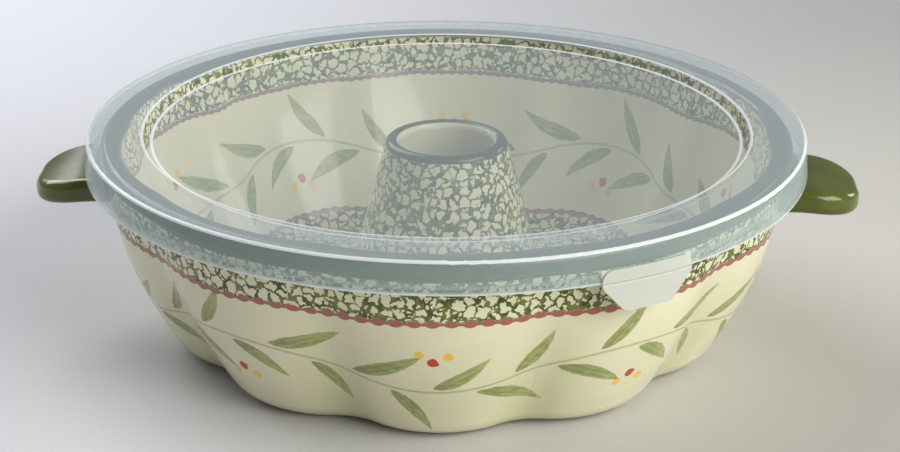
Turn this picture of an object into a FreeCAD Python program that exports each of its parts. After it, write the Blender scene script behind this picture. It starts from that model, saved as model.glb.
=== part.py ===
import FreeCAD, Part
import math
import os
import Sketcher

# Fluted tube pan in glazed stoneware, with its push-on plastic lid.
# Millimetres, +Z up, origin under the middle of the tube on the surface that the pan stands on.
# The two lugs point along +X and -X, and each stands over a valley between two flutes.

SIZES = {
    # fluted bowl
    "flute_count": 10,
    "pan_height": 77.2,
    "rim_radius": 126.0,
    "rim_round": 2.4,
    "collar_height": 6.5,
    "collar_step": 1.4,
    "collar_round": 1.1,
    "wall": 6.0,
    "floor_thickness": 7.0,
    "wall_flare": 26.6,
    "foot_round": 14.0,
    "flank_bow": 0.245,
    "flute_depth": 6.8,
    "flute_rest": 0.9,
    "valley_round": 17.0,
    "cavity_round": 10.0,
    # central tube
    "tube_top_radius": 22.0,
    "tube_wall": 5.2,
    "tube_spread": 17.5,
    "tube_lip_round": 2.3,
    "tube_foot_round": 6.0,
    "tube_clearance": 0.6,
    "bore_round": 2.0,
    # lug handles
    "lug_reach": 25.0,
    "lug_width": 44.0,
    "lug_flat": 10.0,
    "lug_droop": 4.4,
    "lug_thickness": 8.8,
    "lug_round": 3.2,
    "lug_gap": 4.4,
    # push-on lid
    "lid_wall": 1.6,
    "lid_round": 1.8,
    "seat_gap": 0.2,
    "skirt_gap": 3.4,
    "skirt_depth": 11.8,
    "skirt_draft": 0.6,
    "ridge_inset": 20.5,
    "ridge_round": 0.7,
    "panel_drop": 3.0,
    "panel_slope": 2.6,
    "bead_clearance": 0.5,
    "bead_height": 1.4,
    # pull tab of the lid
    "tab_angle": -58.0,
    "tab_width": 35.0,
    "tab_foot": 18.0,
    "tab_lift": 4.6,
    "tab_drop": 10.6,
    "tab_thickness": 1.5,
    "tab_corner": 4.0,
}

# shares of the wall's height at which the fluted outline is drawn
SHARES = (0.0, 0.25, 0.5, 0.75, 1.0)

Vector = FreeCAD.Vector
UP = Vector(0, 0, 1)

doc = FreeCAD.newDocument("fluted_tube_pan")
sheet = doc.addObject("Spreadsheet::Sheet", "sizes")
for row, (alias, value) in enumerate(SIZES.items(), start=1):
    sheet.set("A%d" % row, alias)
    sheet.set("B%d" % row, str(value))
    sheet.setAlias("B%d" % row, alias)
doc.recompute()


# Helpers. A formula is written once as text, with sizes in angle brackets, and both the
# sketches and the code below take their values from it.

def formula(text):
    return text.replace("<", "sizes.").replace(">", "")


def value_of(text):
    return float(sheet.evalExpression(formula(text)))


def bind(item, path, text):
    item.setExpression(path, formula(text))


def origin_part(body, role):
    return next(item for item in body.Origin.OriginFeatures if item.Role == role)


def new_body(name):
    body = doc.addObject("PartDesign::Body", name)
    body.Label = name
    return body


def new_sketch(body, name, role, lift="0"):
    sketch = body.newObject("Sketcher::SketchObject", name)
    sketch.AttachmentSupport = [(origin_part(body, role), "")]
    sketch.MapMode = "FlatFace"
    bind(sketch, ".AttachmentOffset.Base.z", lift)
    return sketch


def fix_value(sketch, text, kind, *points):
    """Add one measured constraint and tie it to its formula."""
    index = sketch.addConstraint(Sketcher.Constraint(kind, *points, value_of(text)))
    bind(sketch, "Constraints[%d]" % index, text)


def upward_arc(first, last, radius):
    """Arc between two points that bows upwards. It starts at the right-hand point."""
    left, right = sorted((first, last), key=lambda point: point.x)
    chord = right - left
    rise = Vector(-chord.y, chord.x, 0).normalize()
    drop = math.sqrt(radius ** 2 - chord.Length ** 2 / 4)
    return Part.Arc(right, (left + right) / 2 + rise * (radius - drop), left)


def draw_polygon(sketch, corners, bows=None):
    """Closed outline whose corners are held at their formulas. The sides are straight, but
    for those whose number is in bows, which are upward arcs of the radius given there."""
    bows = bows or {}
    points = [Vector(value_of(across), value_of(along), 0) for across, along in corners]
    count = len(points)
    ends = []
    for i in range(count):
        first, last = points[i], points[(i + 1) % count]
        if i in bows:
            sketch.addGeometry(upward_arc(first, last, value_of(bows[i])))
            ends.append((2, 1) if last.x > first.x else (1, 2))
        else:
            sketch.addGeometry(Part.LineSegment(first, last))
            ends.append((1, 2))
    for i in range(count):
        after = (i + 1) % count
        sketch.addConstraint(Sketcher.Constraint("Coincident", i, ends[i][1], after, ends[after][0]))
    for i, (across, along) in enumerate(corners):
        fix_value(sketch, across, "DistanceX", -1, 1, i, ends[i][0])
        fix_value(sketch, along, "DistanceY", -1, 1, i, ends[i][0])
    for i, radius in bows.items():
        fix_value(sketch, radius, "Radius", i)


def revolve(body, name, corners, kind="PartDesign::Revolution"):
    """Turn a polygon in the XZ plane about the Z axis, adding or cutting away."""
    sketch = new_sketch(body, name + "_outline", "XZ_Plane")
    draw_polygon(sketch, corners)
    turned = body.newObject(kind, name)
    turned.Profile = (sketch, [""])
    turned.ReferenceAxis = (origin_part(body, "Z_Axis"), [""])
    turned.Angle = 360
    doc.recompute()
    return turned


def extrude(body, name, role, lift, corners, length, bows=None, side="One side"):
    """Pad an outline drawn at a height over one of the body's planes."""
    sketch = new_sketch(body, name + "_outline", role, lift)
    draw_polygon(sketch, corners, bows)
    pad = body.newObject("PartDesign::Pad", name)
    pad.Profile = (sketch, [""])
    pad.SideType = side
    bind(pad, "Length", length)
    doc.recompute()
    return pad


def repeat_round(body, name, count):
    """Polar pattern about the Z axis. The caller says what it repeats."""
    ring = body.newObject("PartDesign::PolarPattern", name)
    ring.Axis = (origin_part(body, "Z_Axis"), [""])
    ring.Angle = 360
    ring.Refine = True
    bind(ring, "Occurrences", count)
    body.Tip = ring
    return ring


def combine(body, name, kind, tool):
    """Cut, fuse or intersect a body with another one."""
    joined = body.newObject("PartDesign::Boolean", name)
    joined.Type = kind
    joined.setObjects([tool])
    doc.recompute()
    return joined


def pick_edges(shape, accept):
    """Names of the edges whose two ends and middle satisfy a test."""
    names = []
    for number, edge in enumerate(shape.Edges, start=1):
        middle = edge.valueAt((edge.FirstParameter + edge.LastParameter) / 2)
        ends = [vertex.Point for vertex in edge.Vertexes]
        if accept(ends, middle):
            names.append("Edge%d" % number)
    return names


def level_edges(shape, height, inside, outside, slack=0.01):
    """Edges that lie level at a height, with their middle between two radii."""
    def accept(ends, middle):
        level = all(abs(spot.z - height) < slack for spot in ends + [middle])
        return level and inside < math.hypot(middle.x, middle.y) < outside
    return pick_edges(shape, accept)


def circle_edges(shape, radius, height):
    return level_edges(shape, height, 0.999 * radius, 1.001 * radius)


def round_edges(body, name, base, edges, radius):
    fillet = body.newObject("PartDesign::Fillet", name)
    fillet.Base = (base, edges)
    bind(fillet, "Radius", radius)
    doc.recompute()
    return fillet


# Heights and radii that more than one piece uses

HALF_TURN = "180deg / <flute_count>"
WALL_TOP = "(<rim_radius> - <collar_step>)"
WALL_FOOT = "(%s - <wall_flare>)" % WALL_TOP
COLLAR_FOOT = "(<pan_height> - <collar_height>)"
LID_TOP = "(<pan_height> + <seat_gap> + <lid_wall>)"
LID_RADIUS = "(<rim_radius> + <skirt_gap> + <lid_wall>)"
PANEL_TOP = "(%s - <panel_drop>)" % LID_TOP
SKIRT_FOOT = "(%s - <skirt_depth>)" % LID_TOP
SKIRT_RADIUS = "(%s + <skirt_draft>)" % LID_RADIUS
TUBE_TOP = "(%s - <lid_wall> - <tube_clearance>)" % PANEL_TOP
TUBE_FOOT = "(<tube_top_radius> + <tube_spread>)"
LUG_TOP = "(%s - <lug_gap>)" % SKIRT_FOOT
LUG_FOOT = "(%s - <lug_thickness>)" % LUG_TOP
LUG_TIP = "(<rim_radius> + <lug_reach>)"
LUG_CORNER = "(<lug_width> / 2 - <lug_flat> / 2)"


# Fluted form: one flute is lofted through its outlines and then repeated round the axis

def crest_radius(share, inset):
    """Radius of the lobes at a share of the height, set in from the outer face."""
    rise = "<wall_flare> * (%g + 4 * <flank_bow> * %g)" % (share, share * (1 - share))
    return "(%s + %s - %s)" % (WALL_FOOT, rise, inset)


def valley_radius(share, inset):
    """Radius between the lobes: full depth at the foot, nearly none at the collar."""
    depth = "(<flute_depth> * %g + <flute_rest> * %g)" % (1 - share ** 2, share ** 2)
    return "(%s - %s)" % (crest_radius(share, inset), depth)


def draw_flute(sketch, crest, valley, rounding):
    """One flute about the sketch's Y axis: a wedge closed by half a valley, the lobe and
    another half valley, all tangent to each other."""
    half = value_of("%s / 1deg" % HALF_TURN) * math.pi / 180
    top = value_of(crest)
    low = value_of(valley)
    bend = value_of(rounding)
    far = low + bend
    reach = top + bend
    lobe_centre = (reach ** 2 - far ** 2) / (2 * (reach - far * math.cos(half)))

    origin = Vector(0, 0, 0)
    right = Vector(math.sin(half), math.cos(half), 0)
    left = Vector(-right.x, right.y, 0)
    turn = math.atan2(far * right.y - lobe_centre, far * right.x)
    right_arc = Part.Circle(right * far, UP, bend)
    lobe_arc = Part.Circle(Vector(0, lobe_centre, 0), UP, top - lobe_centre)
    left_arc = Part.Circle(left * far, UP, bend)
    sketch.addGeometry(Part.LineSegment(origin, right * low))
    sketch.addGeometry(Part.ArcOfCircle(right_arc, math.pi + turn, 1.5 * math.pi - half))
    sketch.addGeometry(Part.ArcOfCircle(lobe_arc, turn, math.pi - turn))
    sketch.addGeometry(Part.ArcOfCircle(left_arc, 1.5 * math.pi + half, 2 * math.pi - turn))
    sketch.addGeometry(Part.LineSegment(left * low, origin))
    sketch.addGeometry(Part.Point(Vector(0, top, 0)), True)

    right_line, right_valley, lobe, left_valley, left_line, crest_point = range(6)
    start, end, centre = 1, 2, 3
    origin_point, y_axis = (-1, 1), -2
    for rule in (
        ("Coincident", right_line, start, *origin_point),
        ("Coincident", left_line, end, *origin_point),
        ("Coincident", right_line, end, right_valley, end),
        ("Coincident", left_line, start, left_valley, start),
        ("Tangent", right_valley, start, lobe, start),
        ("Tangent", left_valley, end, lobe, end),
        ("PointOnObject", lobe, centre, y_axis),
        ("PointOnObject", crest_point, 1, y_axis),
        ("PointOnObject", crest_point, 1, lobe),
        ("PointOnObject", right_valley, centre, right_line),
        ("PointOnObject", left_valley, centre, left_line),
        ("Equal", right_valley, left_valley),
    ):
        sketch.addConstraint(Sketcher.Constraint(*rule))
    across = "%s * sin(%s)" % (valley, HALF_TURN)
    along = "%s * cos(%s)" % (valley, HALF_TURN)
    fix_value(sketch, rounding, "Radius", right_valley)
    fix_value(sketch, crest, "DistanceY", *origin_point, crest_point, 1)
    fix_value(sketch, across, "DistanceX", *origin_point, right_line, end)
    fix_value(sketch, along, "DistanceY", *origin_point, right_line, end)
    fix_value(sketch, across, "DistanceX", left_line, start, *origin_point)


def add_fluted_form(body, foot, top, inset):
    """Solid with the fluted outline from one height to another."""
    outlines = []
    for number, share in enumerate(SHARES):
        height = "%s + (%s - %s) * %g" % (foot, top, foot, share)
        sketch = new_sketch(body, "%s_flute_%d" % (body.Name, number), "XY_Plane", height)
        rounding = "<valley_round> / %g" % (1 - 0.8 * share)
        draw_flute(sketch, crest_radius(share, inset), valley_radius(share, inset), rounding)
        outlines.append(sketch)
    flute = body.newObject("PartDesign::AdditiveLoft", body.Name + "_flute")
    flute.Profile = (outlines[0], [""])
    flute.Sections = [(sketch, [""]) for sketch in outlines[1:]]
    doc.recompute()
    ring = repeat_round(body, body.Name + "_flutes", "<flute_count>")
    ring.TransformMode = "Whole shape"
    doc.recompute()
    return ring


def build_cavity():
    """The room for the cake, fluted like the outside and set in by the wall."""
    cavity = new_body("cavity")
    form = add_fluted_form(cavity, "<floor_thickness>", "(<pan_height> + <wall> / 4)", "<wall>")
    floor = level_edges(form.Shape, value_of("<floor_thickness>"), 1, value_of(WALL_TOP))
    round_edges(cavity, "cavity_corner", form, floor, "<cavity_round>")
    return cavity


def add_lugs(pan):
    """Two lugs that curve down towards a round tip, drawn from well inside the wall."""
    droop_top = "(%s - <lug_droop>)" % LUG_TOP
    droop_foot = "(%s - <lug_droop>)" % LUG_FOOT
    bow = "(<lug_reach> ^ 2 + <lug_droop> ^ 2) / (2 * <lug_droop>)"
    lug = extrude(pan, "lug", "XZ_Plane", "0", [
        (WALL_FOOT, LUG_FOOT),
        (WALL_FOOT, LUG_TOP),
        ("<rim_radius>", LUG_TOP),
        (LUG_TIP, droop_top),
        (LUG_TIP, droop_foot),
        ("<rim_radius>", LUG_FOOT),
    ], "<lug_width>", {2: bow, 4: bow}, "Symmetric")
    pair = repeat_round(pan, "lug_pair", "2")
    pair.Originals = [lug]
    doc.recompute()

    tip = value_of(LUG_TIP)
    side = value_of("<lug_width> / 2")

    def is_corner(ends, middle):
        return abs(abs(middle.x) - tip) < 0.01 and abs(abs(middle.y) - side) < 0.01

    def is_tip_edge(ends, middle):
        return abs(abs(middle.x) - tip) < 0.01 and abs(middle.y) < 0.01

    corners = pick_edges(pair.Shape, is_corner)
    cornered = round_edges(pan, "lug_corners", pair, corners, LUG_CORNER)
    return round_edges(pan, "lugs", cornered, pick_edges(cornered.Shape, is_tip_edge), "<lug_round>")


def add_tube(pan):
    """The hollow tube: a cone on the cavity's floor, and a bore with walls parallel to it."""
    revolve(pan, "tube", [
        ("0", "<floor_thickness> / 2"),
        (TUBE_FOOT, "<floor_thickness> / 2"),
        (TUBE_FOOT, "<floor_thickness>"),
        ("<tube_top_radius>", TUBE_TOP),
        ("0", TUBE_TOP),
    ])
    return revolve(pan, "bore", [
        ("0", "-<floor_thickness>"),
        (TUBE_FOOT + " - <tube_wall>", "-<floor_thickness>"),
        (TUBE_FOOT + " - <tube_wall>", "<floor_thickness>"),
        ("<tube_top_radius> - <tube_wall>", TUBE_TOP),
        ("<tube_top_radius> - <tube_wall>", TUBE_TOP + " + <tube_wall>"),
        ("0", TUBE_TOP + " + <tube_wall>"),
    ], "PartDesign::Groove")


def build_pan(cavity):
    """Bowl, collar, lugs and tube in one casting."""
    pan = new_body("pan")
    form = add_fluted_form(pan, "0", "(%s + <collar_height> / 2)" % COLLAR_FOOT, "0")
    rim = value_of("<rim_radius>")
    round_edges(pan, "foot", form, level_edges(form.Shape, 0, 1, rim), "<foot_round>")
    revolve(pan, "collar", [
        (WALL_TOP + " - 2 * <wall>", COLLAR_FOOT),
        ("<rim_radius>", COLLAR_FOOT),
        ("<rim_radius>", "<pan_height>"),
        (WALL_TOP + " - 2 * <wall>", "<pan_height>"),
    ])
    add_lugs(pan)
    combine(pan, "hollow", "Cut", cavity)
    last = add_tube(pan)

    # the glaze leaves every edge soft
    top = value_of("<pan_height>")
    lip = value_of(TUBE_TOP)
    floor = value_of("<floor_thickness>")
    tube_foot = value_of(TUBE_FOOT)
    tube_top = value_of("<tube_top_radius>")
    mouth = level_edges(last.Shape, top, 0.7 * rim, 1.01 * rim)
    last = round_edges(pan, "mouth", last, mouth, "<rim_round>")
    collar_edge = circle_edges(last.Shape, rim, value_of(COLLAR_FOOT))
    last = round_edges(pan, "collar_edge", last, collar_edge, "<collar_round>")
    tube_lip = level_edges(last.Shape, lip, 0, 1.01 * tube_top)
    last = round_edges(pan, "tube_lip", last, tube_lip, "<tube_lip_round>")
    tube_root = circle_edges(last.Shape, tube_foot, floor)
    last = round_edges(pan, "tube_root", last, tube_root, "<tube_foot_round>")
    bore_edge = level_edges(last.Shape, 0, 0, tube_foot)
    round_edges(pan, "bore_edge", last, bore_edge, "<bore_round>")
    return pan


# Lid: a panel sunk inside a ridge, a channel over the rim, a skirt with an inward bead
# that catches under the collar, and a pull tab

def build_tab():
    """Curved strip that hangs from the skirt, cut to an outline with a narrow foot."""
    low = "(%s - <tab_drop>)" % SKIRT_FOOT
    high = "(%s + <tab_lift>)" % SKIRT_FOOT
    inner = "(%s - <lid_wall> / 2)" % SKIRT_RADIUS
    outer = "(%s + <tab_thickness>)" % inner
    shoulder = "(%s - <tab_thickness>)" % SKIRT_FOOT
    tab = new_body("tab")
    strip = revolve(tab, "tab_strip", [(inner, low), (outer, low), (outer, high), (inner, high)])
    bind(strip, "Angle", "2 * asin(0.5 * <tab_width> / %s)" % inner)
    strip.Midplane = True

    shape = new_body("tab_shape")
    block = extrude(shape, "tab_block", "YZ_Plane", "0.5 * " + inner, [
        ("-0.5 * <tab_width>", high),
        ("-0.5 * <tab_width>", shoulder),
        ("-0.5 * <tab_foot>", low),
        ("0.5 * <tab_foot>", low),
        ("0.5 * <tab_width>", shoulder),
        ("0.5 * <tab_width>", high),
    ], outer)
    through = pick_edges(block.Shape, lambda ends, middle: abs(ends[0].x - ends[-1].x) > 1)
    round_edges(shape, "tab_corners", block, through, "<tab_corner>")
    combine(tab, "tab_cut", "Common", shape)
    bind(tab, ".Placement.Rotation.Angle", "<tab_angle>")
    return tab


def build_lid(tab):
    ridge = "(%s - <ridge_inset>)" % LID_RADIUS
    panel = "(%s - <panel_slope>)" % ridge
    shift = "<lid_wall> * tan(atan(<panel_drop> / <panel_slope>) / 2)"
    bead = "(<rim_radius> + <bead_clearance>)"
    bead_top = "(%s + <bead_height>)" % SKIRT_FOOT
    lid = new_body("lid")
    shell = revolve(lid, "lid_shell", [
        ("0", PANEL_TOP + " - <lid_wall>"),
        ("%s + %s" % (panel, shift), PANEL_TOP + " - <lid_wall>"),
        ("%s + %s" % (ridge, shift), LID_TOP + " - <lid_wall>"),
        (LID_RADIUS + " - <lid_wall>", LID_TOP + " - <lid_wall>"),
        (SKIRT_RADIUS + " - <lid_wall>", bead_top),
        (bead, bead_top),
        (bead, SKIRT_FOOT),
        (SKIRT_RADIUS, SKIRT_FOOT),
        (LID_RADIUS, LID_TOP),
        (ridge, LID_TOP),
        (panel, PANEL_TOP),
        ("0", PANEL_TOP),
    ])
    crown = circle_edges(shell.Shape, value_of(LID_RADIUS), value_of(LID_TOP))
    last = round_edges(lid, "lid_crown", shell, crown, "<lid_round>")
    ridge_edges = circle_edges(last.Shape, value_of(ridge), value_of(LID_TOP))
    ridge_edges += circle_edges(last.Shape, value_of(panel), value_of(PANEL_TOP))
    round_edges(lid, "lid_ridge", last, ridge_edges, "<ridge_round>")
    combine(lid, "lid_and_tab", "Fuse", tab)
    return lid


pan = build_pan(build_cavity())
lid = build_lid(build_tab())

os.makedirs("parts", exist_ok=True)
for item in doc.Objects:
    if "Invalid" in item.State or "Error" in item.State:
        raise RuntimeError("%s did not build: %s" % (item.Label, item.getStatusString()))
for body in (pan, lid):
    shape = body.Shape
    if shape.isNull() or not shape.isValid() or len(shape.Solids) != 1:
        raise RuntimeError("%s is not one valid solid" % body.Label)
for body in (pan, lid):
    body.Shape.exportStep("parts/%s.step" % body.Label)
    print("%s: %.1f cubic centimetres" % (body.Label, body.Shape.Volume / 1000))
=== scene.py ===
import math
import bpy
from mathutils import Matrix, Vector

# Fluted tube pan: a painted stoneware casting under a frosted lid.
# Both pieces come packed, so this script dresses them, lights them and sets the camera.

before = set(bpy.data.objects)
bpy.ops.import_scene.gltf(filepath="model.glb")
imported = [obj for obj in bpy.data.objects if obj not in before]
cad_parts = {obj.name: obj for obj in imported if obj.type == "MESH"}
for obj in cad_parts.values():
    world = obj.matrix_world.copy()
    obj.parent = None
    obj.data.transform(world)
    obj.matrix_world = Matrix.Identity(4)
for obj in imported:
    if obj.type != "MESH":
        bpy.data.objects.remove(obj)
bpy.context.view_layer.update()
scene = bpy.context.scene
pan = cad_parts["pan"]
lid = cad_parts["lid"]
print("frame loaded:", sorted(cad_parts))


def pictureColour(red, green, blue):
    # 0 to 255 as a picture holds it, to the linear values that shaders take
    shares = [value / 255 for value in (red, green, blue)]
    return tuple(s / 12.92 if s <= 0.04045 else ((s + 0.055) / 1.055) ** 2.4 for s in shares) + (1.0,)


# camera, first of all, at the photo's angle
cameraSetup = {
    "target": Vector((0.0, 0.0, 0.0790)),    # middle of the lid's top, which the distance is measured from
    "distance": 0.900,
    "elevation": math.radians(19.36),
    "aroundPan": math.radians(2.0),          # how far the pan is turned from square on
    "aimPoint": Vector((0.0014, 0.0, 0.0389)),
    "roll": math.radians(0.21),
    "lens": 98.3,
}


def addCamera(setup):
    data = bpy.data.cameras.new("camera")
    data.lens = setup["lens"]
    data.sensor_width = 36.0
    data.clip_start = 0.05
    data.clip_end = 50.0
    camera = bpy.data.objects.new("camera", data)
    scene.collection.objects.link(camera)
    away = Vector((0, -math.cos(setup["elevation"]), math.sin(setup["elevation"])))
    turned = Matrix.Rotation(setup["aroundPan"], 3, "Z") @ away
    camera.location = setup["target"] + turned * setup["distance"]
    look = (setup["aimPoint"] - camera.location).to_track_quat("-Z", "Y")
    camera.rotation_mode = "QUATERNION"
    camera.rotation_quaternion = look @ Matrix.Rotation(setup["roll"], 3, "Z").to_quaternion()
    scene.camera = camera


addCamera(cameraSetup)
print("camera set")


# short ways to build nodes

def addNode(tree, kind, **settings):
    node = tree.nodes.new("ShaderNode" + kind)
    for name, value in settings.items():
        setattr(node, name, value)
    return node


def feed(tree, socket, value):
    # a link from another node, or a plain value
    if isinstance(value, bpy.types.NodeSocket):
        tree.links.new(value, socket)
    else:
        socket.default_value = value


def feedAll(tree, node, values):
    for name, value in values.items():
        feed(tree, node.inputs[name], value)


def calc(tree, operation, *values):
    node = addNode(tree, "Math", operation=operation)
    for socket, value in zip(node.inputs, values):
        feed(tree, socket, value)
    return node.outputs["Value"]


def fade(tree, value, start, end, low=0.0, high=1.0):
    # smooth change from low at start to high at end
    node = addNode(tree, "MapRange", interpolation_type="SMOOTHSTEP")
    feedAll(tree, node, {"Value": value, "From Min": start, "From Max": end, "To Min": low, "To Max": high})
    return node.outputs["Result"]


def above(tree, value, level, soft):
    # 1 over a level and 0 under it, with a soft step to either side
    return fade(tree, value, level - soft, level + soft)


def below(tree, value, level, soft):
    return fade(tree, value, level + soft, level - soft)


def allOf(tree, *masks):
    result = masks[0]
    for mask in masks[1:]:
        result = calc(tree, "MULTIPLY", result, mask)
    return result


def anyOf(tree, *masks):
    result = masks[0]
    for mask in masks[1:]:
        result = calc(tree, "MAXIMUM", result, mask)
    return result


def noise(tree, point, scale, detail=2.0, rough=0.5):
    node = addNode(tree, "TexNoise", noise_dimensions="3D")
    feedAll(tree, node, {"Vector": point, "Scale": scale, "Detail": detail, "Roughness": rough})
    return node


def mixColour(tree, amount, under, over):
    node = addNode(tree, "Mix", data_type="RGBA")
    feed(tree, node.inputs[0], amount)
    feed(tree, node.inputs[6], under)
    feed(tree, node.inputs[7], over)
    return node.outputs[2]


def mixValue(tree, amount, under, over):
    node = addNode(tree, "Mix", data_type="FLOAT")
    feed(tree, node.inputs[0], amount)
    feed(tree, node.inputs[2], under)
    feed(tree, node.inputs[3], over)
    return node.outputs[0]


def raised(tree, height, strength):
    # a height in millimetres as a change of the normal
    bump = addNode(tree, "Bump")
    bump.inputs["Strength"].default_value = strength
    bump.inputs["Distance"].default_value = 0.001
    feed(tree, bump.inputs["Height"], height)
    return bump.outputs[0]


def newGroup(name, inputs, outputs):
    group = bpy.data.node_groups.new(name, "ShaderNodeTree")
    for title, kind, value in inputs:
        socket = group.interface.new_socket(title, in_out="INPUT", socket_type="NodeSocket" + kind)
        socket.default_value = value
    for title, kind in outputs:
        group.interface.new_socket(title, in_out="OUTPUT", socket_type="NodeSocket" + kind)
    ins = group.nodes.new("NodeGroupInput").outputs
    outs = group.nodes.new("NodeGroupOutput").inputs
    return group, ins, outs


def useGroup(tree, group, **values):
    node = addNode(tree, "Group", node_tree=group)
    feedAll(tree, node, values)
    return node.outputs


def newMaterial(name):
    material = bpy.data.materials.new(name)
    material.use_nodes = True
    tree = material.node_tree
    return material, tree, tree.nodes["Principled BSDF"]


# effects, each built once as a group

def makeTurningPlace():
    # where a point lies on something turned about Z: angle, radius and height in millimetres
    group, ins, outs = newGroup(
        "turningPlace",
        [("Point", "Vector", (0, 0, 0)), ("Facing", "Vector", (0, 0, 1))],
        [("Angle", "Float"), ("Radius", "Float"), ("Height", "Float"),
         ("Outward", "Float"), ("Upward", "Float"), ("Millimetres", "Vector")])
    scaled = addNode(group, "VectorMath", operation="SCALE")
    feed(group, scaled.inputs[0], ins["Point"])
    scaled.inputs["Scale"].default_value = 1000.0
    parts = addNode(group, "SeparateXYZ")
    feed(group, parts.inputs[0], scaled.outputs[0])
    facing = addNode(group, "SeparateXYZ")
    feed(group, facing.inputs[0], ins["Facing"])
    x, y, z = parts.outputs
    square = calc(group, "ADD", calc(group, "MULTIPLY", x, x), calc(group, "MULTIPLY", y, y))
    radius = calc(group, "SQRT", square)
    safeRadius = calc(group, "MAXIMUM", radius, 0.01)
    alongX = calc(group, "MULTIPLY", x, facing.outputs[0])
    alongY = calc(group, "MULTIPLY", y, facing.outputs[1])
    feed(group, outs["Angle"], calc(group, "ARCTAN2", y, x))
    feed(group, outs["Radius"], radius)
    feed(group, outs["Height"], z)
    feed(group, outs["Outward"], calc(group, "DIVIDE", calc(group, "ADD", alongX, alongY), safeRadius))
    feed(group, outs["Upward"], facing.outputs[2])
    feed(group, outs["Millimetres"], scaled.outputs[0])
    return group


spongeShape = {
    "warpScale": 0.36,           # unevenness of the spots, to a millimetre
    "warpRough": 0.75,
    "warpReach": 3.0,            # how far it shifts their edges, in millimetres
    "scatter": 0.8,              # 0 would set the spots in rows
    "raggedScale": 0.7,          # the net is wide in some places and thin in others
    "raggedGain": 3.0,
    "raggedLess": 0.5,
    "edge": 0.05,
    "toneScale": 0.22,
}


def makeSponge(shape):
    # paint dabbed on with a sponge: an uneven net of colour round rounded bare spots
    group, ins, outs = newGroup(
        "spongedPaint",
        [("Point", "Vector", (0, 0, 0)), ("Spot", "Float", 4.0), ("Net", "Float", 0.2)],
        [("Mask", "Float"), ("Tone", "Float")])
    warp = noise(group, ins["Point"], shape["warpScale"], 1.0, shape["warpRough"])
    shift = addNode(group, "VectorMath", operation="MULTIPLY_ADD")
    feed(group, shift.inputs[0], warp.outputs["Color"])
    shift.inputs[1].default_value = (shape["warpReach"],) * 3
    feed(group, shift.inputs[2], ins["Point"])
    scale = calc(group, "DIVIDE", 1.0, ins["Spot"])
    nearest = addNode(group, "TexVoronoi", feature="F1", distance="EUCLIDEAN")
    second = addNode(group, "TexVoronoi", feature="F2", distance="EUCLIDEAN")
    for cells in (nearest, second):
        feed(group, cells.inputs["Vector"], shift.outputs[0])
        feed(group, cells.inputs["Scale"], scale)
        cells.inputs["Randomness"].default_value = shape["scatter"]
    ragged = noise(group, ins["Point"], shape["raggedScale"], 1.0).outputs[0]
    between = calc(group, "SUBTRACT", second.outputs["Distance"], nearest.outputs["Distance"])
    uneven = calc(group, "MULTIPLY_ADD", ragged, shape["raggedGain"], -shape["raggedLess"])
    width = calc(group, "MULTIPLY", ins["Net"], uneven)
    inner = calc(group, "SUBTRACT", width, shape["edge"])
    feed(group, outs["Mask"], fade(group, between, width, inner))
    feed(group, outs["Tone"], noise(group, ins["Point"], shape["toneScale"], 2.0, 0.6).outputs[0])
    return group


strokeShape = {
    "taper": 0.75,               # the less, the blunter its ends
    "narrowing": 0.28,           # towards the tip
    "hairs": 9.0,                # streaks that the hairs of the brush leave
    "hairWander": 6.0,
    "hairDepth": 0.13,
    "loadDepth": 0.22,           # more paint at one end
    "ragged": 0.4,
    "edge": 0.2,
}


def makeBrushLeaf(shape):
    # one stroke of a full brush, given by two axes that reach from its middle to its tip and to its side
    group, ins, outs = newGroup(
        "brushLeaf",
        [("Point", "Vector", (0, 0, 0)), ("Place", "Vector", (0, 0, 0)), ("Along", "Vector", (0.1, 0, 0)),
         ("Over", "Vector", (0, 0.4, 0)), ("Bend", "Float", 0.5), ("Grain", "Float", 0.5)],
        [("Mask", "Float"), ("Streak", "Float")])
    away = addNode(group, "VectorMath", operation="SUBTRACT")
    feed(group, away.inputs[0], ins["Point"])
    feed(group, away.inputs[1], ins["Place"])

    def measured(axis):
        node = addNode(group, "VectorMath", operation="DOT_PRODUCT")
        feed(group, node.inputs[0], away.outputs[0])
        feed(group, node.inputs[1], ins[axis])
        return node.outputs["Value"]

    a, b = measured("Along"), measured("Over")
    square = calc(group, "MULTIPLY", a, a)
    left = calc(group, "MAXIMUM", calc(group, "SUBTRACT", 1.0, square), 0.0)
    taper = calc(group, "POWER", left, shape["taper"])
    width = calc(group, "MULTIPLY", taper, calc(group, "MULTIPLY_ADD", a, -shape["narrowing"], 1.0))
    curved = calc(group, "SUBTRACT", b, calc(group, "MULTIPLY", square, ins["Bend"]))
    wander = calc(group, "MULTIPLY", ins["Grain"], shape["hairWander"])
    hairs = calc(group, "SINE", calc(group, "MULTIPLY_ADD", b, shape["hairs"], wander))
    streaks = calc(group, "MULTIPLY", hairs, shape["hairDepth"])
    loaded = calc(group, "MULTIPLY_ADD", a, shape["loadDepth"], streaks)
    feed(group, outs["Streak"], calc(group, "ADD", ins["Grain"], loaded))
    ragged = calc(group, "MULTIPLY_ADD", ins["Grain"], shape["ragged"], -shape["ragged"] / 2)
    inside = calc(group, "ADD", calc(group, "SUBTRACT", width, calc(group, "ABSOLUTE", curved)), ragged)
    feed(group, outs["Mask"], fade(group, inside, 0.0, shape["edge"]))
    return group


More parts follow.
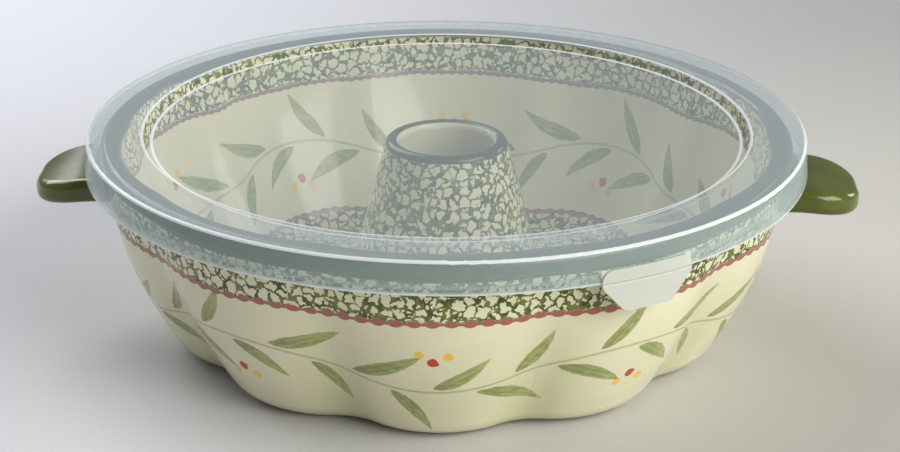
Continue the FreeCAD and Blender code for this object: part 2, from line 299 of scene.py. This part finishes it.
vineSetup = {
    "bends": 10,
    "bendLength": 73.0,          # unrolled, in millimetres
    "swing": 6.0,
    "stemWidth": 0.75,           # it fades out this far from its middle
    "stemCore": 0.2,
    "leaves": 5,                 # to a bend
    "leafLength": 25.0,
    "leafWidth": 5.6,
    "leafSpread": 0.62,          # how far a leaf turns from the stem
    "leafVaries": 0.16,
    "leafReach": 0.52,           # from the stem to its middle, as a share of its length
    "leafBend": 0.55,
    "grainScale": 26.0,
    "grainClimb": 0.02,
    "berryTurn": 0.4,
    "berryLong": 2.16,           # in radii
    "redBerries": [(36.5, -7.4, 2.0)],       # along the bend, over its middle, and radius
    "yellowBerries": [(41.5, -9.9, 1.8), (32.0, -10.6, 1.7)],
}


def makeVine(leaf, vine):
    # a stem that waves round the bowl, with leaves on both sides and berries in its bends
    group, ins, outs = newGroup(
        "trailingVine",
        [("Angle", "Float", 0), ("Height", "Float", 0), ("Middle", "Float", 30), ("Start", "Float", 0)],
        [("Leaf", "Float"), ("Streak", "Float"), ("Stem", "Float"), ("Red", "Float"), ("Yellow", "Float")])
    # the bowl is unrolled, and every second bend is the one before it turned upside down
    half = vine["bendLength"]
    turned = calc(group, "ADD", ins["Angle"], ins["Start"])
    bends = calc(group, "MULTIPLY", turned, vine["bends"] / (2 * math.pi))
    odd = calc(group, "FLOORED_MODULO", calc(group, "FLOOR", bends), 2.0)
    along = calc(group, "MULTIPLY", calc(group, "FRACT", bends), half)
    level = calc(group, "SUBTRACT", ins["Height"], ins["Middle"])
    up = calc(group, "MULTIPLY", level, calc(group, "MULTIPLY_ADD", odd, -2.0, 1.0))
    flat = addNode(group, "CombineXYZ")
    feed(group, flat.inputs[0], along)
    feed(group, flat.inputs[1], up)
    phase = calc(group, "MULTIPLY", along, math.pi / half)
    wave = calc(group, "MULTIPLY", calc(group, "SINE", phase), vine["swing"])
    fromStem = calc(group, "ABSOLUTE", calc(group, "SUBTRACT", up, wave))
    feed(group, outs["Stem"], fade(group, fromStem, vine["stemWidth"], vine["stemCore"]))

    spread = addNode(group, "CombineXYZ")
    feed(group, spread.inputs[0], calc(group, "COSINE", turned))
    feed(group, spread.inputs[1], calc(group, "SINE", turned))
    feed(group, spread.inputs[2], calc(group, "MULTIPLY", level, vine["grainClimb"]))
    grain = noise(group, spread.outputs[0], vine["grainScale"], 1.0, 0.6).outputs[0]

    def stroke(place, turn, long, wide, bend):
        return useGroup(
            group, leaf, Point=flat.outputs[0], Place=(place[0], place[1], 0), Bend=bend, Grain=grain,
            Along=(2 * math.cos(turn) / long, 2 * math.sin(turn) / long, 0),
            Over=(-2 * math.sin(turn) / wide, 2 * math.cos(turn) / wide, 0))

    strokes = []
    for number in range(vine["leaves"]):
        u = half * (number + 0.5) / vine["leaves"]
        v = vine["swing"] * math.sin(math.pi * u / half)
        lean = math.atan(vine["swing"] * math.pi / half * math.cos(math.pi * u / half))
        side = 1 if number % 2 else -1
        # sines of its number stand in for chance
        long = vine["leafLength"] * (1.0 + vine["leafVaries"] * math.sin(2.4 * number + 1))
        turn = lean + side * (vine["leafSpread"] + vine["leafVaries"] * math.sin(1.7 * number))
        reach = long * vine["leafReach"]
        middle = (u + math.cos(turn) * reach, v + math.sin(turn) * reach)
        bend = side * vine["leafBend"]
        strokes.append(stroke(middle, turn, long, vine["leafWidth"], bend))
        if middle[0] + long / 2 > half:     # its tip reaches into the next bend
            strokes.append(stroke((middle[0] - half, -middle[1]), -turn, long, vine["leafWidth"], -bend))
    feed(group, outs["Leaf"], anyOf(group, *[item["Mask"] for item in strokes]))
    streaks = [calc(group, "MULTIPLY", item["Mask"], item["Streak"]) for item in strokes]
    feed(group, outs["Streak"], anyOf(group, *streaks))

    for title, berries in (("Red", vine["redBerries"]), ("Yellow", vine["yellowBerries"])):
        dots = []
        for u, v, radius in berries:
            long, wide = vine["berryLong"] * radius, 2 * radius
            dots.append(stroke((u, v), vine["berryTurn"], long, wide, 0.0)["Mask"])
        feed(group, outs[title], anyOf(group, *dots))
    return group


beadShape = {
    "narrow": 2.45,              # at 2 each bead would touch the next
    "edge": (1.05, 0.8),
    "thread": (0.7, 0.4),
}


def makeBeads(shape):
    # a painted string of beads on a thin thread, by how far a point is along the string and over it
    group, ins, outs = newGroup(
        "beadString",
        [("Along", "Float", 0), ("Over", "Float", 0), ("Tall", "Float", 1.25)],
        [("Mask", "Float")])
    step = calc(group, "FRACT", ins["Along"])
    aside = calc(group, "ABSOLUTE", calc(group, "SUBTRACT", step, 0.5))
    a = calc(group, "MULTIPLY", aside, shape["narrow"])
    b = calc(group, "DIVIDE", ins["Over"], ins["Tall"])
    reach = calc(group, "ADD", calc(group, "POWER", a, 2.0), calc(group, "MULTIPLY", b, b))
    bead = fade(group, reach, *shape["edge"])
    thread = fade(group, calc(group, "ABSOLUTE", ins["Over"]), *shape["thread"])
    feed(group, outs["Mask"], anyOf(group, bead, thread))
    return group


markShape = {
    "finer": 14.0,               # the scuffs, against the patches that they lie in
    "patches": (0.50, 0.72),
    "scuffs": (0.35, 0.75),
}


def makeHandling(shape):
    # faint marks of use, as a mask of small scuffs
    group, ins, outs = newGroup(
        "handlingMarks",
        [("Point", "Vector", (0, 0, 0)), ("Size", "Float", 0.05)],
        [("Mask", "Float")])
    cloud = noise(group, ins["Point"], ins["Size"], 3.0, 0.65).outputs[0]
    fine = noise(group, ins["Point"], calc(group, "MULTIPLY", ins["Size"], shape["finer"]), 1.0).outputs[0]
    patches = fade(group, cloud, *shape["patches"])
    scuffs = fade(group, fine, *shape["scuffs"])
    feed(group, outs["Mask"], allOf(group, patches, scuffs))
    return group


turningPlace = makeTurningPlace()
spongedPaint = makeSponge(spongeShape)
beadString = makeBeads(beadShape)
handlingMarks = makeHandling(markShape)
brushLeaf = makeBrushLeaf(strokeShape)
trailingVine = makeVine(brushLeaf, vineSetup)
print("groups built:", len(bpy.data.node_groups))


def findPlace(tree):
    # where a point lies on its own piece, which holds when the lid is lifted
    spot = addNode(tree, "TexCoord").outputs
    return useGroup(tree, turningPlace, Point=spot["Object"], Facing=spot["Normal"])


# stoneware pan: cream glaze, sponged rim and tube, painted vine, solid green collar and lugs
panPaint = {
    "cream": pictureColour(228, 223, 190),
    "greenAndShade": pictureColour(196, 200, 150),      # darker and greener: painted shade low in the valleys, partly the green airbrushed round the blossoms, and loose random clouds
    "spongeDark": pictureColour(64, 76, 24),
    "spongeLight": pictureColour(116, 126, 56),
    # the lugs' green painted darker for the collar, rim and lip: painted shade under the lid
    "shadedGreen": pictureColour(56, 66, 22),
    "lugGreen": pictureColour(74, 82, 28),
    "leafDark": pictureColour(124, 134, 72),
    "leafLight": pictureColour(170, 176, 106),
    "stem": pictureColour(156, 156, 108),
    "bead": pictureColour(164, 100, 90),
    "innerBead": pictureColour(150, 112, 112),
    "red": pictureColour(190, 66, 62),
    "yellow": pictureColour(240, 196, 84),
    "bisque": pictureColour(206, 188, 158),
    # where one part of the casting ends and the next begins, in millimetres
    "wallRadius": 77.0,
    "tubeRadius": 59.5,
    "boreRadius": 37.5,
    "floorHeight": 6.4,
    "footHeight": 0.7,
    "collarFoot": 68.55,
    "rimEdge": 75.5,
    "lipRadius": 29.5,
    "lipFoot": 71.5,
    "rimRadius": 126.0,
    "lugRoot": 117.4,
    "lugTip": 128.2,
    "lugTop": 63.2,
    "lugFoot": 53.7,
    "lugHalf": 22.2,
    "lugReach": 25.0,
    "lugDroop": 4.8,
    "flutes": 10,
    # which way a face points, out from the axis or up
    "wallFacing": 0.06,
    "boreFacing": -0.2,
    "lipFacing": -0.65,
    "footFacing": -0.75,
    # sponged bands and the beads along them
    "spongeSpot": 3.8,
    "spongeNet": 0.2,
    "wander": 2.4,               # how unevenly the hand drew a line
    "floorWander": 1.6,
    "wanderScale": 0.05,
    "beadFoot": 51.8,
    "innerBeadRise": 7.8,
    "beadCount": 126,
    "innerBeadsMore": 62,
    "beadTall": 1.4,
    "innerBeadLess": 0.35,
    "scallop": 1.1,
    "bandGap": 0.1,              # from a bead to the band's edge
    "hemWidth": 0.7,
    "hemTone": 0.46,
    "floorLaceTop": 13.4,
    "floorBeadCount": 130,
    "floorBeadTall": 1.05,
    # the outer vine, and how the inner one differs
    "vineMiddle": 30.0,
    "innerVineRise": 3.0,
    "innerVineTurn": 0.62,
    # painted shade low in the valleys, and how much each layer covers
    "valleyShadeHeight": 35.0,
    "valleyShadeCover": 0.55,
    "cloudScale": 0.03,
    "cloudCover": 0.22,
    "stemCover": 0.6,
    "leafCover": 0.92,
    "greenUneven": 0.5,
    # surface
    "glazeRough": 0.15,
    "wornRough": 0.10,           # on top of it, where it is scuffed
    "bareRough": 0.85,
    "markScale": 0.05,
    "refraction": 1.5,
    "rippleScale": 0.10,
    "rippleHeight": 0.07,
    "peelScale": 1.2,
    "peelHeight": 0.010,
    "gritHeight": 0.3,
    "reliefStrength": 0.8,
}


def findCasting(tree, place, paint):
    # masks for the parts of the casting
    radius, height, outward = place["Radius"], place["Height"], place["Outward"]
    wall = above(tree, radius, paint["wallRadius"], 1.0)
    outside = allOf(tree, wall, above(tree, outward, paint["wallFacing"], 0.04))
    inside = calc(tree, "SUBTRACT", 1.0, outside)
    bore = allOf(
        tree, below(tree, radius, paint["boreRadius"], 0.5), below(tree, outward, paint["boreFacing"], 0.05))
    notBore = calc(tree, "SUBTRACT", 1.0, bore)
    overFloor = above(tree, height, paint["floorHeight"], 0.4)
    tube = allOf(tree, below(tree, radius, paint["tubeRadius"], 0.5), overFloor, notBore)
    floorInside = allOf(tree, inside, overFloor, notBore)
    outerCollar = allOf(tree, outside, above(tree, height, paint["collarFoot"], 0.25))
    rim = allOf(tree, wall, above(tree, height, paint["rimEdge"], 0.3))
    lip = allOf(
        tree, below(tree, radius, paint["lipRadius"], 0.5), above(tree, height, paint["lipFoot"], 0.3),
        above(tree, outward, paint["lipFacing"], 0.1))

    # a lug droops by the square of how far out it reaches
    xyz = addNode(tree, "SeparateXYZ")
    feed(tree, xyz.inputs[0], place["Millimetres"])
    pastRim = calc(tree, "MAXIMUM", calc(tree, "SUBTRACT", radius, paint["rimRadius"]), 0.0)
    reach = calc(tree, "DIVIDE", pastRim, paint["lugReach"])
    droop = calc(tree, "MULTIPLY", calc(tree, "MULTIPLY", reach, reach), paint["lugDroop"])
    root = allOf(
        tree, above(tree, radius, paint["lugRoot"], 0.2), below(tree, height, paint["lugTop"], 0.1),
        above(tree, calc(tree, "ADD", height, droop), paint["lugFoot"], 0.1),
        below(tree, calc(tree, "ABSOLUTE", xyz.outputs[1]), paint["lugHalf"], 0.1))
    lug = anyOf(tree, root, above(tree, radius, paint["lugTip"], 0.2))
    foot = below(tree, height, paint["footHeight"], 0.2)
    underneath = below(tree, place["Upward"], paint["footFacing"], 0.15)
    return {
        "wall": wall, "outside": outside, "inside": inside, "tube": tube, "floorInside": floorInside,
        "lug": lug, "solid": anyOf(tree, outerCollar, rim, lip, lug), "bare": allOf(tree, foot, underneath),
    }


def paintBands(tree, place, casting, paint):
    # sponged bands, inside and out, with beads along their edges, and the sponged tube and floor
    angle, height, point = place["Angle"], place["Height"], place["Millimetres"]
    wall, inside = casting["wall"], casting["inside"]
    sponge = useGroup(tree, spongedPaint, Point=point, Spot=paint["spongeSpot"], Net=paint["spongeNet"])
    turns = calc(tree, "DIVIDE", angle, 2 * math.pi)
    wobble = noise(tree, point, paint["wanderScale"], 1.0).outputs[0]

    level = calc(tree, "MULTIPLY_ADD", inside, paint["innerBeadRise"], paint["beadFoot"])
    over = calc(tree, "SUBTRACT", height, calc(tree, "MULTIPLY_ADD", wobble, paint["wander"], level))
    count = calc(tree, "MULTIPLY_ADD", inside, paint["innerBeadsMore"], paint["beadCount"])
    tall = calc(tree, "MULTIPLY_ADD", inside, -paint["innerBeadLess"], paint["beadTall"])
    beads = useGroup(tree, beadString, Along=calc(tree, "MULTIPLY", turns, count), Over=over, Tall=tall)
    halfCount = calc(tree, "DIVIDE", count, 2.0)
    scallop = calc(tree, "ABSOLUTE", calc(tree, "SINE", calc(tree, "MULTIPLY", angle, halfCount)))
    edgeLine = calc(tree, "MULTIPLY_ADD", scallop, paint["scallop"], paint["bandGap"])
    bandEdge = calc(tree, "SUBTRACT", over, edgeLine)
    band = allOf(tree, wall, above(tree, bandEdge, 0.15, 0.15))
    hem = allOf(
        tree, band, below(tree, bandEdge, paint["hemWidth"], 0.2),
        above(tree, sponge["Tone"], paint["hemTone"], 0.04))

    laceTop = calc(tree, "MULTIPLY_ADD", wobble, -paint["floorWander"], paint["floorLaceTop"])
    floorOver = calc(tree, "SUBTRACT", laceTop, height)
    floorLace = allOf(tree, casting["floorInside"], above(tree, floorOver, 0.15, 0.15))
    floorBeads = useGroup(
        tree, beadString, Along=calc(tree, "MULTIPLY", turns, paint["floorBeadCount"]), Over=floorOver,
        Tall=paint["floorBeadTall"])
    dabbed = allOf(tree, anyOf(tree, band, casting["tube"], floorLace), sponge["Mask"])
    return {
        "band": band, "sponged": anyOf(tree, dabbed, hem), "tone": sponge["Tone"],
        "beads": allOf(tree, wall, anyOf(tree, beads["Mask"], allOf(tree, inside, floorBeads["Mask"]))),
    }


def paintVine(tree, place, casting, bands, paint):
    # one vine outside and one inside, a little higher and turned a bit further
    middle = calc(tree, "MULTIPLY_ADD", casting["inside"], paint["innerVineRise"], paint["vineMiddle"])
    start = calc(tree, "MULTIPLY", casting["inside"], paint["innerVineTurn"])
    vine = useGroup(
        tree, trailingVine, Angle=place["Angle"], Height=place["Height"], Middle=middle, Start=start)
    lower = allOf(tree, casting["wall"], calc(tree, "SUBTRACT", 1.0, bands["band"]))
    return {name: allOf(tree, vine[name], lower) for name in ("Leaf", "Streak", "Stem", "Red", "Yellow")}


def colourPan(tree, place, casting, bands, vine, paint):
    # glaze, darker and greener low in the valleys as painted shade, with random greener clouds, and the
    # paint over it
    lobes = calc(tree, "COSINE", calc(tree, "MULTIPLY", place["Angle"], float(paint["flutes"])))
    valley = above(tree, lobes, 0.4, 0.6)
    lowDown = below(tree, place["Height"], paint["valleyShadeHeight"], 27.0)
    cloudy = noise(tree, place["Millimetres"], paint["cloudScale"], 3.0).outputs[0]
    # painted shade in the valleys, fading out towards the rim
    greenAndShadeShare = allOf(tree, casting["outside"], valley, lowDown, paint["valleyShadeCover"])
    greenAndShadeShare = anyOf(tree, greenAndShadeShare, calc(tree, "MULTIPLY", above(tree, cloudy, 0.6, 0.15), paint["cloudCover"]))
    colour = mixColour(tree, greenAndShadeShare, paint["cream"], paint["greenAndShade"])

    thinPaint = above(tree, vine["Streak"], 0.5, 0.4)
    leafColour = mixColour(tree, thinPaint, paint["leafDark"], paint["leafLight"])
    colour = mixColour(tree, calc(tree, "MULTIPLY", vine["Stem"], paint["stemCover"]), colour, paint["stem"])
    colour = mixColour(tree, calc(tree, "MULTIPLY", vine["Leaf"], paint["leafCover"]), colour, leafColour)
    colour = mixColour(tree, vine["Yellow"], colour, paint["yellow"])
    colour = mixColour(tree, vine["Red"], colour, paint["red"])

    paler = above(tree, bands["tone"], 0.5, 0.15)
    spongeColour = mixColour(tree, paler, paint["spongeDark"], paint["spongeLight"])
    beadColour = mixColour(tree, casting["inside"], paint["bead"], paint["innerBead"])
    colour = mixColour(tree, bands["sponged"], colour, spongeColour)
    colour = mixColour(tree, bands["beads"], colour, beadColour)

    greenTone = fade(tree, cloudy, 0.3, 0.8, 0.0, paint["greenUneven"])
    greenColour = mixColour(tree, greenTone, paint["shadedGreen"], paint["spongeDark"])
    lugColour = mixColour(tree, greenTone, paint["lugGreen"], paint["spongeLight"])
    solidColour = mixColour(tree, casting["lug"], greenColour, lugColour)
    colour = mixColour(tree, casting["solid"], colour, solidColour)
    return mixColour(tree, casting["bare"], colour, paint["bisque"])


def makeStoneware(paint):
    material, tree, shader = newMaterial("glazedStoneware")
    place = findPlace(tree)
    point = place["Millimetres"]
    casting = findCasting(tree, place, paint)
    bands = paintBands(tree, place, casting, paint)
    vine = paintVine(tree, place, casting, bands, paint)
    feed(tree, shader.inputs["Base Color"], colourPan(tree, place, casting, bands, vine, paint))

    bare = casting["bare"]
    marks = useGroup(tree, handlingMarks, Point=point, Size=paint["markScale"])
    glaze = calc(tree, "MULTIPLY_ADD", marks["Mask"], paint["wornRough"], paint["glazeRough"])
    unglazed = calc(tree, "MULTIPLY", bare, paint["bareRough"])
    feed(tree, shader.inputs["Roughness"], anyOf(tree, glaze, unglazed))
    shader.inputs["IOR"].default_value = paint["refraction"]

    # the glaze is never quite even, and the foot is left rough
    ripple = noise(tree, point, paint["rippleScale"], 2.0).outputs[0]
    peel = noise(tree, point, paint["peelScale"], 1.0).outputs[0]
    grit = calc(tree, "MULTIPLY", peel, calc(tree, "MULTIPLY", bare, paint["gritHeight"]))
    relief = calc(
        tree, "ADD", calc(tree, "MULTIPLY", ripple, paint["rippleHeight"]),
        calc(tree, "MULTIPLY", peel, paint["peelHeight"]))
    relief = calc(tree, "ADD", relief, grit)
    feed(tree, shader.inputs["Normal"], raised(tree, relief, paint["reliefStrength"]))
    return material


pan.material_slots[0].material = makeStoneware(panPaint)
print("pan painted")


# lid: frosted panel, clearer step, ring and skirt, edges whitened as painted highlights, and a milky tab
lidFinish = {
    "frost": pictureColour(176, 188, 194),
    "ring": pictureColour(200, 212, 218),
    "skirt": pictureColour(186, 206, 204),
    # white of the painted highlights along the lid's edges
    "edge": pictureColour(244, 247, 250),
    "tab": pictureColour(206, 209, 199),
    # how much each part hides what lies behind it
    "panelVeil": 0.15,
    "ringVeil": 0.215,
    "skirtVeil": 0.25,
    "slopeVeil": 0.04,
    "highlightVeil": 0.74,
    "tabVeil": 0.84,
    "steepVeil": 0.14,           # more where it is seen edge on
    "steepBlend": 0.35,
    "hemHighlight": 0.7,             # as a share of the outer corner's painted highlight
    "stepHighlightShare": 0.8,
    # where one part of the moulding ends and the next begins, in millimetres
    "tabAngle": math.radians(-58.0),
    "tabHalf": 17.55,
    "tabTop": 71.8,
    "tabRadius": 130.675,
    "skirtFoot": 67.1,
    "hingeHeight": 67.0,
    "hingeRadius": 132.0,
    "panelRadius": 107.8,
    "stepInner": 106.2,
    "stepOuter": 112.2,
    "stepLines": [(110.8, 78.1), (107.4, 75.3)],     # radius of a step edge whitened as a painted highlight line, and the height it begins at
    "skirtRadius": 128.65,
    "cornerRadius": 129.2,
    "cornerHeight": 77.2,
    "hemTop": 67.8,
    # which way a face points, towards the tab or up
    "tabFacing": 0.925,
    "slopeFacing": 0.74,
    "lineFacing": 0.73,
    # surface
    "panelRough": 0.40,
    "plainRough": 0.18,
    "tabRough": 0.38,
    "scuffRough": 0.15,
    "markScale": 0.04,
    "refraction": 1.5,
    "grainScale": 2.6,
    "grainHeight": 0.014,
    "hingeDepth": 0.25,
    "reliefStrength": 0.7,
}


def findMoulding(tree, place, finish):
    # masks for the parts of the lid
    angle, radius, height, upward = place["Angle"], place["Radius"], place["Height"], place["Upward"]
    fromTab = calc(tree, "WRAP", calc(tree, "SUBTRACT", angle, finish["tabAngle"]), math.pi, -math.pi)
    acrossTab = calc(tree, "ABSOLUTE", calc(tree, "MULTIPLY", calc(tree, "SINE", fromTab), radius))
    tab = allOf(
        tree, above(tree, calc(tree, "COSINE", fromTab), finish["tabFacing"], 0.025),
        below(tree, acrossTab, finish["tabHalf"], 0.15), below(tree, height, finish["tabTop"], 0.05),
        above(tree, radius, finish["tabRadius"], 0.075))
    tab = anyOf(tree, tab, below(tree, height, finish["skirtFoot"], 0.05))
    panel = below(tree, radius, finish["panelRadius"], 0.4)
    skirt = above(tree, radius, finish["skirtRadius"], 0.25)
    step = allOf(
        tree, above(tree, radius, finish["stepInner"], 0.2), below(tree, radius, finish["stepOuter"], 0.2))
    slope = allOf(tree, step, below(tree, calc(tree, "ABSOLUTE", upward), finish["slopeFacing"], 0.02))

    # painted highlights, partly the whiter look of thick plastic seen edge on: white at the outer corner,
    # the foot of the skirt and both sides of the step
    outMost = calc(tree, "SUBTRACT", radius, finish["cornerRadius"])
    topMost = calc(tree, "SUBTRACT", height, finish["cornerHeight"])
    aroundCorner = calc(tree, "ABSOLUTE", calc(tree, "SUBTRACT", outMost, topMost))
    pastCorner = calc(tree, "ADD", outMost, topMost)
    cornerHighlight = allOf(tree, below(tree, aroundCorner, 0.95, 0.25), above(tree, pastCorner, 1.2, 0.2))
    hem = allOf(tree, skirt, below(tree, height, finish["hemTop"], 0.2))
    lines = []
    for middle, lowest in finish["stepLines"]:
        beside = calc(tree, "ABSOLUTE", calc(tree, "SUBTRACT", radius, middle))
        lines.append(allOf(tree, below(tree, beside, 0.6, 0.2), above(tree, height, lowest, 0.1)))
    stepHighlight = allOf(tree, step, above(tree, upward, finish["lineFacing"], 0.03), anyOf(tree, *lines))
    edges = anyOf(
        tree, cornerHighlight, calc(tree, "MULTIPLY", hem, finish["hemHighlight"]),
        calc(tree, "MULTIPLY", stepHighlight, finish["stepHighlightShare"]))

    fromHinge = calc(tree, "ABSOLUTE", calc(tree, "SUBTRACT", height, finish["hingeHeight"]))
    hinge = allOf(tree, above(tree, radius, finish["hingeRadius"], 0.1), below(tree, fromHinge, 0.35, 0.15))
    return {"tab": tab, "panel": panel, "skirt": skirt, "slope": slope, "edges": edges, "hinge": hinge}


def makeFrostedPlastic(finish):
    material, tree, shader = newMaterial("frostedPlastic")
    place = findPlace(tree)
    point = place["Millimetres"]
    parts = findMoulding(tree, place, finish)
    panel, skirt, edges, tab = parts["panel"], parts["skirt"], parts["edges"], parts["tab"]

    colour = mixColour(tree, panel, finish["ring"], finish["frost"])
    colour = mixColour(tree, skirt, colour, finish["skirt"])
    # white painted highlights along the edges
    colour = mixColour(tree, edges, colour, finish["edge"])
    colour = mixColour(tree, tab, colour, finish["tab"])
    feed(tree, shader.inputs["Base Color"], colour)

    veil = mixValue(tree, panel, finish["ringVeil"], finish["panelVeil"])
    veil = mixValue(tree, skirt, veil, finish["skirtVeil"])
    veil = mixValue(tree, parts["slope"], veil, finish["slopeVeil"])
    veil = mixValue(tree, edges, veil, finish["highlightVeil"])
    grazing = addNode(tree, "LayerWeight")
    grazing.inputs["Blend"].default_value = finish["steepBlend"]
    veil = calc(tree, "ADD", veil, calc(tree, "MULTIPLY", grazing.outputs["Facing"], finish["steepVeil"]))
    veil = mixValue(tree, tab, veil, finish["tabVeil"])
    feed(tree, shader.inputs["Alpha"], veil)

    marks = useGroup(tree, handlingMarks, Point=point, Size=finish["markScale"])
    rough = mixValue(tree, panel, finish["plainRough"], finish["panelRough"])
    rough = mixValue(tree, tab, rough, finish["tabRough"])
    scuffs = allOf(tree, panel, marks["Mask"], finish["scuffRough"])
    feed(tree, shader.inputs["Roughness"], calc(tree, "ADD", rough, scuffs))
    shader.inputs["IOR"].default_value = finish["refraction"]

    grain = noise(tree, point, finish["grainScale"], 1.0).outputs[0]
    relief = calc(tree, "MULTIPLY", grain, calc(tree, "MULTIPLY", panel, finish["grainHeight"]))
    groove = calc(tree, "MULTIPLY", parts["hinge"], finish["hingeDepth"])
    relief = calc(tree, "SUBTRACT", relief, groove)
    feed(tree, shader.inputs["Normal"], raised(tree, relief, finish["reliefStrength"]))
    return material


lid.material_slots[0].material = makeFrostedPlastic(lidFinish)
print("lid frosted")


# floor and light
studio = {
    "floorSize": 14.0,
    # painted light and shade on the floor: lighter to the left, most at the back, darker to the right, most
    # at the back
    "coolLitFloor": pictureColour(202, 203, 208),
    "warmShadedFloor": pictureColour(194, 192, 184),
    "litFloor": pictureColour(204, 207, 216),
    "shadedFloor": pictureColour(157, 157, 156),
    "nearChange": (-0.22, 0.22),             # where the lighter cool left turns to the darker warm right, from left to right, in metres
    "farChange": (-0.28, 0.26),              # where the painted light turns to painted shade
    "depthChange": (0.02, 0.46),             # where near turns to far
    "weaveScale": 900.0,
    "weaveAmount": 0.16,
    "weaveGrey": (0.30, 0.30, 0.30, 1.0),
    "floorRough": 0.75,
    "sky": (0.96, 0.98, 1.0, 1.0),
    "skyStrength": 0.20,
    "lampAim": Vector((0, 0, 0.04)),
    "lamps": [
        # name, place, size, power, colour
        ("topBox", (-0.82, 0.85, 1.05), (1.3, 1.0), 20.0, (0.98, 0.99, 1.0)),
        ("frontBox", (1.85, -1.30, 1.32), (2.3, 1.8), 83.0, (1.0, 0.985, 0.95)),
        ("rightBox", (1.10, 0.75, 0.45), (0.4, 0.3), 2.5, (1.0, 0.98, 0.95)),
        ("backBox", (-0.80, 1.20, 0.60), (0.7, 0.35), 1.3, (0.95, 0.98, 1.0)),
    ],
}


def addStudio(studio):
    half = studio["floorSize"] / 2
    mesh = bpy.data.meshes.new("floor")
    corners = [(-half, -half, 0), (half, -half, 0), (half, half, 0), (-half, half, 0)]
    mesh.from_pydata(corners, [], [(0, 1, 2, 3)])
    floor = bpy.data.objects.new("floor", mesh)
    scene.collection.objects.link(floor)
    material, tree, shader = newMaterial("paleFloor")
    where = addNode(tree, "NewGeometry")
    parts = addNode(tree, "SeparateXYZ")
    feed(tree, parts.inputs[0], where.outputs["Position"])
    x, y = parts.outputs[0], parts.outputs[1]
    # the floor's colour carries painted light and shade, not an even tone
    near = mixColour(tree, fade(tree, x, *studio["nearChange"]), studio["coolLitFloor"], studio["warmShadedFloor"])
    far = mixColour(tree, fade(tree, x, *studio["farChange"]), studio["litFloor"], studio["shadedFloor"])
    colour = mixColour(tree, fade(tree, y, *studio["depthChange"]), near, far)
    weave = noise(tree, where.outputs["Position"], studio["weaveScale"], 3.0, 0.7).outputs[0]
    specks = fade(tree, weave, 0.3, 0.8, 0.0, studio["weaveAmount"])
    feed(tree, shader.inputs["Base Color"], mixColour(tree, specks, colour, studio["weaveGrey"]))
    shader.inputs["Roughness"].default_value = studio["floorRough"]
    mesh.materials.append(material)

    world = bpy.data.worlds.new("studioLight")
    world.use_nodes = True
    background = world.node_tree.nodes["Background"]
    background.inputs["Color"].default_value = studio["sky"]
    background.inputs["Strength"].default_value = studio["skyStrength"]
    scene.world = world

    for name, spot, size, power, colour in studio["lamps"]:
        data = bpy.data.lights.new(name, "AREA")
        data.shape = "RECTANGLE"
        data.size, data.size_y = size
        data.energy = power
        data.color = colour
        lamp = bpy.data.objects.new(name, data)
        lamp.location = spot
        lamp.rotation_mode = "QUATERNION"
        lamp.rotation_quaternion = (studio["lampAim"] - lamp.location).to_track_quat("-Z", "Y")
        scene.collection.objects.link(lamp)


addStudio(studio)
scene.view_settings.view_transform = "Standard"
print("floor and lamps set")
